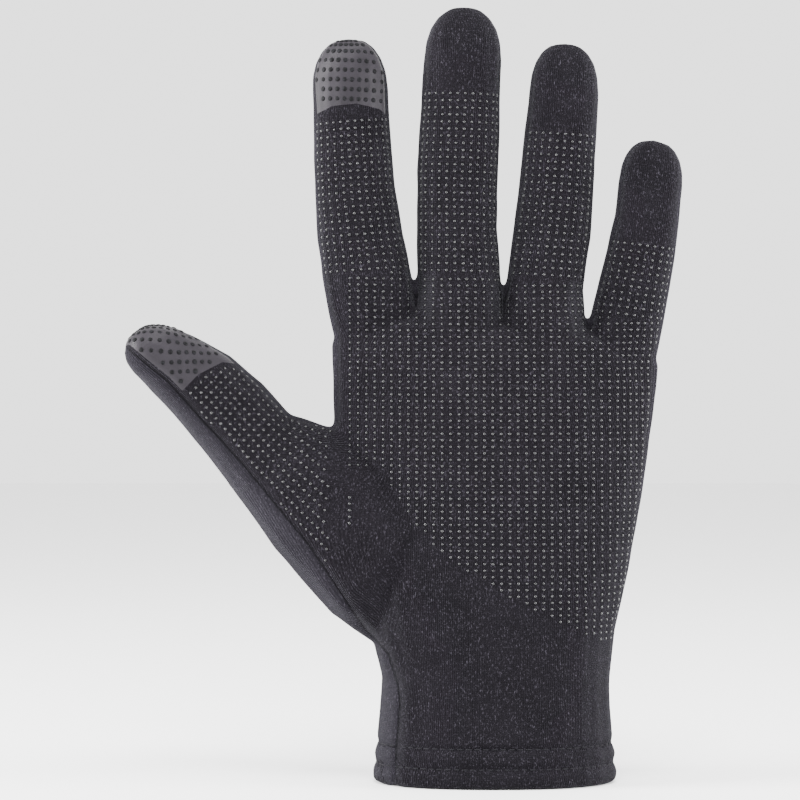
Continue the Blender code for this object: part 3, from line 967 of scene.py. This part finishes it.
# %% A tree that sets a shape on every place
def group_input(tree, name, kind, default=None):
    made = tree.interface.new_socket(name=name, in_out="INPUT", socket_type=kind)
    if default is not None:
        made.default_value = default
    return made


def setting_tree(name, shape):
    """Points in, one dome, disc or stitch on each out. The places carry the directions."""
    tree = bpy.data.node_groups.new(name, "GeometryNodeTree")
    group_input(tree, "Places", "NodeSocketGeometry")
    group_input(tree, "Width", "NodeSocketFloat", 0.001)
    group_input(tree, "Length", "NodeSocketFloat", 0.001)
    group_input(tree, "Height", "NodeSocketFloat", 0.0005)
    group_input(tree, "Unevenness", "NodeSocketFloat", 0.1)
    group_input(tree, "Seed", "NodeSocketInt", SEED)
    group_input(tree, "Material", "NodeSocketMaterial")
    tree.interface.new_socket(name="Shapes", in_out="OUTPUT", socket_type="NodeSocketGeometry")
    new, link = tree.nodes.new, tree.links.new
    given, result = new("NodeGroupInput"), new("NodeGroupOutput")
    ball = new("GeometryNodeMeshUVSphere")
    ball.inputs["Segments"].default_value, ball.inputs["Rings"].default_value = shape
    ball.inputs["Radius"].default_value = 0.5
    size = new("ShaderNodeCombineXYZ")
    double = new("ShaderNodeMath")
    double.operation = "MULTIPLY"
    double.inputs[1].default_value = 2.0
    link(given.outputs["Height"], double.inputs[0])
    link(given.outputs["Width"], size.inputs[0])
    link(given.outputs["Length"], size.inputs[1])
    link(double.outputs[0], size.inputs[2])
    shaped = new("GeometryNodeTransform")
    link(ball.outputs["Mesh"], shaped.inputs["Geometry"])
    link(size.outputs[0], shaped.inputs["Scale"])
    up, ahead = new("GeometryNodeInputNamedAttribute"), new("GeometryNodeInputNamedAttribute")
    for node, key in ((up, "up"), (ahead, "ahead")):
        node.data_type = "FLOAT_VECTOR"
        node.inputs["Name"].default_value = key
    stand, turn = new("FunctionNodeAlignRotationToVector"), new("FunctionNodeAlignRotationToVector")
    stand.axis, turn.axis, turn.pivot_axis = "Z", "Y", "Z"
    link(up.outputs[0], stand.inputs["Vector"])
    link(stand.outputs[0], turn.inputs["Rotation"])
    link(ahead.outputs[0], turn.inputs["Vector"])
    spread = new("FunctionNodeRandomValue")
    spread.data_type = "FLOAT"
    least, most = new("ShaderNodeMath"), new("ShaderNodeMath")
    least.operation, most.operation = "SUBTRACT", "ADD"
    for node in (least, most):
        node.inputs[0].default_value = 1.0
        link(given.outputs["Unevenness"], node.inputs[1])
    floats = [s for s in spread.inputs if s.type == "VALUE"]
    link(least.outputs[0], floats[0])
    link(most.outputs[0], floats[1])
    link(given.outputs["Seed"], spread.inputs["Seed"])
    placed = new("GeometryNodeInstanceOnPoints")
    link(given.outputs["Places"], placed.inputs["Points"])
    link(shaped.outputs[0], placed.inputs["Instance"])
    link(turn.outputs[0], placed.inputs["Rotation"])
    link([s for s in spread.outputs if s.type == "VALUE"][0], placed.inputs["Scale"])
    real, smooth = new("GeometryNodeRealizeInstances"), new("GeometryNodeSetShadeSmooth")
    finish = new("GeometryNodeSetMaterial")
    link(placed.outputs[0], real.inputs[0])
    link(real.outputs[0], smooth.inputs[0])
    link(smooth.outputs[0], finish.inputs["Geometry"])
    link(given.outputs["Material"], finish.inputs["Material"])
    link(finish.outputs[0], result.inputs[0])
    return tree


DOME_TREE = setting_tree("set_domes", (9, 6))
STITCH_TREE = setting_tree("set_stitches", (8, 7))


def set_shapes(name, tree, places, up, ahead, material, width, length, height, uneven=0.1):
    """A plain mesh of one shape on every place, with its own place kept for the finish."""
    base = new_object(name + "_places", places, [], {"up": up, "ahead": ahead})
    modifier = base.modifiers.new("set", "NODES")
    modifier.node_group = tree
    values = {"Width": width, "Length": length, "Height": height, "Unevenness": uneven,
              "Seed": SEED, "Material": material}
    for item in tree.interface.items_tree:
        if item.item_type == "SOCKET" and item.in_out == "INPUT" and item.name in values:
            modifier[item.identifier] = values[item.name]
    seen = base.evaluated_get(bpy.context.evaluated_depsgraph_get())
    mesh = bpy.data.meshes.new_from_object(seen)
    made = bpy.data.objects.new(name, mesh)
    bpy.context.scene.collection.objects.link(made)
    bpy.data.objects.remove(base)
    rest = np.zeros(len(mesh.vertices) * 3, np.float32)
    mesh.vertices.foreach_get("co", rest)
    for key in ("up", "ahead"):
        if key in mesh.attributes:
            mesh.attributes.remove(mesh.attributes[key])
    mesh.attributes.new("rest", "FLOAT_VECTOR", "POINT").data.foreach_set("vector", rest)
    return made


# %% [markdown]
# The print covers the palm side only. Its rows follow each finger; on the palm they run straight
# across, and the print stops along a curve over the ball of the thumb, where the hand folds.

# %% Where the print goes
PALM_PITCH = (2.6 * MM, 2.0 * MM)
FINGER_PITCH = (2.45 * MM, 2.2 * MM)
PALM_BEND_ROUND = 13 * MM  # the palm's edge turns away with about this radius
PRINT_EDGE = ((0.392, 0.585), (0.392, 0.404), (0.455, 0.413), (0.475, 0.382), (0.513, 0.336),
              (0.571, 0.293), (0.627, 0.269), (0.703, 0.236), (0.780, 0.207), (0.854, 0.182))
THUMB_PRINT_EDGE = ((0.361, 0.270), (0.368, 0.452), (0.375, 0.500))
PRINT_TOPS = {"index": 0.853, "middle": 0.890, "ring": 0.837, "little": 0.701}
SEAM_CLEAR, FINGER_SEAM_CLEAR, PATCH_CLEAR = 1.6 * MM, 0.7 * MM, 1.0 * MM
PALM_PRINT_LOW = 0.18  # share of the glove's height
PALM_PRINT_TOP = 172 * MM
PALM_TURN, FINGER_TURN, THUMB_TURN = 1.25, 1.62, 1.9  # how far the print goes round, in radians
THUMB_PRINT_SPAN = (-62 * MM, 45 * MM)
ROW_RISE = 0.6 * MM  # scale of a row's rise from a finger's middle to its side
PALM_RISE, PALM_RISE_AT = 0.5 * MM, 50 * MM  # a palm row's rise, this far from the middle


def struck(start, way):
    """Where a ray from inside meets the cloth, and which way the cloth faces there."""
    hit, _, index, _ = skin_tree.ray_cast(Vector(start), Vector(way))
    if hit is None:
        return None
    corner = faces[index]
    near_by = points[corner]
    weight = 1 / (np.linalg.norm(near_by - np.array(hit), axis=1) + 1e-6)
    normal = (outward[corner] * weight[:, None]).sum(0)
    return np.array(hit), normal / np.linalg.norm(normal)


def digit_print(name, pitch, low, high, turn_limit):
    """A grid of places round the palm side of a digit, from low to high along it."""
    digit, number = digits[name], DIGITS.index(name)
    half_across, half_deep = GIRTHS[number]
    angle, length = arc_table(half_across, half_deep)
    found = []
    columns = np.arange(-20, 21)
    for row in range(int((high - low) / pitch[1]) + 1):
        for column in columns:
            round_it = (column + 0.5) * pitch[0]
            turn = np.sign(round_it) * np.interp(abs(round_it), length, angle)
            if abs(turn) > turn_limit:
                continue
            along = low + row * pitch[1] + ROW_RISE * (1 - math.cos(turn * 0.8))
            centre = digit.centre(np.array([along]))[0]
            way = (digit.across * half_across * math.sin(turn)
                   + np.array([0, -half_deep * math.cos(turn), 0]))
            hit = struck(centre, way / np.linalg.norm(way))
            if hit:
                found.append((*hit, digit.along))
    return found


def palm_print(pitch):
    """The grid of places over the palm, its last columns turning round the edges."""
    found = []
    for row in range(200):
        z = HEM_TOP + 3 * MM + row * pitch[1]
        for column in range(-40, 41):
            x = (column + 0.5) * pitch[0]
            edges_here = [skin_tree.ray_cast(Vector((0, 0, z)), Vector((way, 0, 0)))[0]
                          for way in (-1, 1)]
            if None in edges_here:
                continue
            right = edges_here[1].x - PALM_BEND_ROUND
            over = max(0.0, x - right)
            turn = over / PALM_BEND_ROUND
            if turn > PALM_TURN:
                continue
            rise = PALM_RISE * (x / PALM_RISE_AT) ** 2
            hit = struck((min(x, right), 0, z + rise), (math.sin(turn), -math.cos(turn), 0))
            if hit:
                found.append((*hit, np.array([0.0, 0.0, 1.0])))
    return found


def as_arrays(found):
    return tuple(np.array(part) for part in zip(*found))


prints = {}
raw = as_arrays(palm_print(PALM_PITCH))
own = owners(raw[0])
edge_side = side_of(raw[0], on_glove(PRINT_EDGE))
keep = (own == -1) & (seam_distance(raw[0], own) < -SEAM_CLEAR) & (edge_side > 0)
keep &= raw[0][:, 2] > glove_low[2] + PALM_PRINT_LOW * glove_size[2]
keep &= raw[0][:, 2] < PALM_PRINT_TOP
prints["hand"] = [part[keep] for part in raw]
for name in FINGERS:
    top = glove_low[2] + PRINT_TOPS[name] * glove_size[2]
    stop = (top - digits[name].start[2]) / digits[name].along[2]
    low = -WEB_BELOW[name] + 0.6 * FINGER_PITCH[1]
    raw = as_arrays(digit_print(name, FINGER_PITCH, low, stop, FINGER_TURN))
    own = owners(raw[0])
    keep = (own == DIGITS.index(name)) & (seam_distance(raw[0], own) < -FINGER_SEAM_CLEAR)
    if name == "index":
        keep &= patch_value(raw[0], "index") < -PATCH_CLEAR
        keep &= side_of(raw[0], on_glove(INDEX_PATCH)) < -PATCH_CLEAR
    prints[name] = [part[keep] for part in raw]
raw = as_arrays(digit_print("thumb", FINGER_PITCH, *THUMB_PRINT_SPAN, THUMB_TURN))
own = owners(raw[0])
keep = ((own == -1) | (own == THUMB_NUMBER)) & (seam_distance(raw[0], own) < -SEAM_CLEAR)
keep &= side_of(raw[0], on_glove(THUMB_PRINT_EDGE)) > 0
keep &= side_of(raw[0], on_glove(THUMB_PATCH)) < -PATCH_CLEAR
prints["thumb"] = [part[keep] for part in raw]
print({key: len(value[0]) for key, value in prints.items()}, "dots")

# %% [markdown]
# Dots are grouped by the same joints as the cloth below them, so the dots over each joint are one
# piece; those on the hand ride on its body.
# Each is a flattened ball with its middle just above the cloth, so that only a dome shows.

# %% Printing
DOT_WIDTH, DOT_HEIGHT = 0.95 * MM, 0.34 * MM


def print_dots(key, group, chosen, material, width, height):
    """The dots among these places that stand on one body's cloth."""
    places, up, ahead = (part[chosen] for part in group)
    return set_shapes(key, DOME_TREE, places + 0.02 * MM * up, up, ahead, material,
                      width, width, height)


def dots_by_joint(group, label, material, width, height):
    """One piece of dots for the hand and one for each joint that the print crosses."""
    own = owners(group[0])
    if (own == -1).any():
        piece = print_dots(f"hand_{label}", group, own == -1, material, width, height)
        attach(piece, "hand")
    for number in sorted(set(own) - {-1}):
        name = DIGITS[number]
        t = digits[name].place(group[0])[0]
        for k, (low, high) in enumerate(stretches(name)):
            here = (own == number) & (t > low) & (t <= high)
            if here.any():
                body = digits[name].bodies[k + 1]
                piece = print_dots(f"{body}_{label}", group, here, material, width, height)
                bend(piece, name, k)


grip = [np.vstack([prints[key][part] for key in prints]) for part in range(3)]
dots_by_joint(grip, "grip_dots", GRIP, DOT_WIDTH, DOT_HEIGHT)

# %% [markdown]
# The patches carry wider, flatter and matte dots, in a slightly slanted grid, so that a screen
# is touched by cloth and the dots only stop it sliding.

# %% Patch dots
PATCH_PITCH = (2.4 * MM, 3.0 * MM)
PATCH_DOT_WIDTH, PATCH_DOT_HEIGHT = 1.5 * MM, 0.22 * MM
PATCH_SLANT = {"index": 0.10, "thumb": 0.75}
BELOW_PATCH = 14 * MM
DOME_FROM = 18 * MM  # past the last hinge, where the tip starts to close


def patch_print(name):
    """The slanted grid of places on a patch."""
    digit, number = digits[name], DIGITS.index(name)
    half_across, half_deep = GIRTHS[number]
    end = digit.hinge_along[-1]
    found = []
    for row in range(-6, 16):
        for column in range(-12, 13):
            x, y = column * PATCH_PITCH[0], row * PATCH_PITCH[1]
            slant = PATCH_SLANT[name]
            around = x * math.cos(slant) + y * math.sin(slant)
            along = end + y * math.cos(slant) - x * math.sin(slant)
            if abs(around) > 1.1 * half_across or along < end - BELOW_PATCH:
                continue
            inside = np.clip(around / (1.02 * half_across), -0.999, 0.999)
            centre = digit.centre(np.array([min(along, end + DOME_FROM)]))[0]
            turn = math.asin(inside)
            over = max(0.0, along - end - DOME_FROM)
            way = (digit.across * half_across * math.sin(turn)
                   + np.array([0, -half_deep * math.cos(turn), 0]) + digit.along * over * 1.2)
            hit = struck(centre, way / np.linalg.norm(way))
            if hit:
                found.append((*hit, digit.along))
    places = as_arrays(found)
    own = owners(places[0])
    kept = (own == number) & (patch_value(places[0], name) > PATCH_CLEAR)
    return [part[kept] for part in places]


for name in ("index", "thumb"):
    group = patch_print(name)
    print(name, "patch has", len(group[0]), "dots")
    dots_by_joint(group, "patch_dots", PATCH_DOT, PATCH_DOT_WIDTH, PATCH_DOT_HEIGHT)

# %% [markdown]
# Two rows of lockstitch hold the hem. Each stitch is a short, plump float of thread that sinks
# into the cloth at both ends.

# %% Hem stitches
STITCH_PITCH = 2.6 * MM
STITCH_LENGTH, STITCH_WIDTH = 2.3 * MM, 0.5 * MM
STITCH_SUNK = 0.12 * MM


def stitch_row(z):
    """Places, outward directions and running directions of the stitches round the wrist."""
    grow = 1 + HEM_FLARE * (1 - z / HEM_TOP)
    line = top_line * grow + way_out * (roll_height(z) - STITCH_SUNK)
    line += way_out * (HEM_WOBBLE * wobble)[:, None]
    loop = np.vstack([line, line[:1]])
    run = np.concatenate([[0], np.cumsum(np.linalg.norm(np.diff(loop, axis=0), axis=1))])
    count = int(run[-1] / STITCH_PITCH)
    at = np.arange(count) * run[-1] / count
    places = np.column_stack([np.interp(at, run, loop[:, k]) for k in range(2)])
    later = np.column_stack([np.interp((at + 0.5 * MM) % run[-1], run, loop[:, k])
                             for k in range(2)])
    ahead = later - places
    ahead /= np.linalg.norm(ahead, axis=1)[:, None]
    up = np.column_stack([ahead[:, 1], -ahead[:, 0], np.zeros(count)])
    return (np.column_stack([places, np.full(count, z)]), up,
            np.column_stack([ahead, np.zeros(count)]))


for node, z in (("hem_stitch_lower", ROW_LOW), ("hem_stitch_upper", HEM_TOP)):
    places, up, ahead = stitch_row(z)
    piece = set_shapes(node.replace("stitch", "thread"), STITCH_TREE, places, up, ahead, THREAD,
                       STITCH_WIDTH, STITCH_LENGTH, STITCH_WIDTH / 2, 0.06)
    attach(piece, "hand")
    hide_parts(node)

# %% [markdown]
# ## The cut of the cloth
# Each piece is cut flat and a little smaller than the hand it covers, and the knit stretches to
# fit. No pattern is known, so the flat area is estimated from the worn cloth itself, less that
# stretch, and the flat size from its length and its width round the finger or hand. Where that
# width is too small for the area, it is raised until the rectangle holds it.

# %% Sheets
STRETCH = 1.05  # how much the worn cloth's area exceeds the flat cut
LEAST_ROOM, MOST_ROOM = 1.02, 3.0  # the flat rectangle's area, in shares of the cloth's own


def declare(piece):
    """Works out and prints how large a piece of cloth was cut flat."""
    mesh = piece.data
    half = len(mesh.vertices) // 2
    area = sum(p.area for p in mesh.polygons if max(p.vertices) < half) / STRETCH
    place = np.zeros(len(mesh.vertices) * 3, np.float32)
    mesh.attributes["knit"].data.foreach_get("vector", place)
    place = place.reshape(-1, 3)[:half]
    width, length = np.ptp(place[:, :2], axis=0) / STRETCH ** 0.5
    width = min(max(width, LEAST_ROOM * area / length), MOST_ROOM * area / length)
    on_it = piece.name.replace("palm_cloth", "grip_dots").replace("touch_cloth", "tip_patch_dots")
    on_it = "hand_grip_dots" if on_it == "grip_dots" else on_it
    print(f"{piece.name}: flat {width / MM:.0f} x {length / MM:.0f} mm, {area * 1e4:.1f} cm2")


for piece in cloth.values():
    declare(piece)
hem_round = float(np.linalg.norm(np.diff(top_line, axis=0), axis=1).sum())

# %% [markdown]
# ## Light, floor and view
# A plain pale floor and soft studio light: one large panel on the left that grazes the nap, a
# weaker one on the right and one above.

# %% Stage
FLOOR_SIZE = 6.0
PANEL_SIZE = 0.4
ROOM_LIGHT = 2.4
LENS, SENSOR = 120, 36
VIEW_WIDTH = 252 * MM
AIM_LEFT, AIM_DOWN = 1.5 * MM, 1.6 * MM


def soft_light(name, spot, aim, width, power):
    light = bpy.data.lights.new(name, "AREA")
    light.shape = "SQUARE"
    light.size, light.energy = width, power
    lamp = bpy.data.objects.new(name, light)
    bpy.context.scene.collection.objects.link(lamp)
    lamp.location = spot
    lamp.rotation_euler = (Vector(aim) - Vector(spot)).to_track_quat("-Z", "Y").to_euler()


bpy.ops.mesh.primitive_plane_add(size=FLOOR_SIZE, location=(0, 0, glove_low[2] - 0.0002))
floor = bpy.context.object
floor.name = "floor"
floor_finish = Finish("pale_floor", 0.6)
floor_finish.colour((0.9, 0.9, 0.9, 1.0))
floor.data.materials.append(floor_finish.material)
middle = (glove_low + glove_high) / 2
aim = tuple(middle)
soft_light("left_panel", (-1.0, -0.22, 0.40), aim, PANEL_SIZE, 46)
soft_light("right_panel", (1.0, -0.18, 0.32), aim, PANEL_SIZE, 34)
soft_light("top_panel", (0.0, -0.45, 1.1), aim, PANEL_SIZE, 22)
world = bpy.data.worlds.new("pale_room")
world.use_nodes = True
world.node_tree.nodes["Background"].inputs[0].default_value = (1.0, 1.0, 1.0, 1.0)
world.node_tree.nodes["Background"].inputs[1].default_value = ROOM_LIGHT
bpy.context.scene.world = world
camera_data = bpy.data.cameras.new("camera")
camera_data.lens, camera_data.sensor_width = LENS, SENSOR
camera = bpy.data.objects.new("camera", camera_data)
bpy.context.scene.collection.objects.link(camera)
camera.location = (middle[0] - AIM_LEFT, -VIEW_WIDTH * LENS / SENSOR, middle[2] - AIM_DOWN)
camera.rotation_euler = (math.pi / 2, 0, 0)
bpy.context.scene.camera = camera
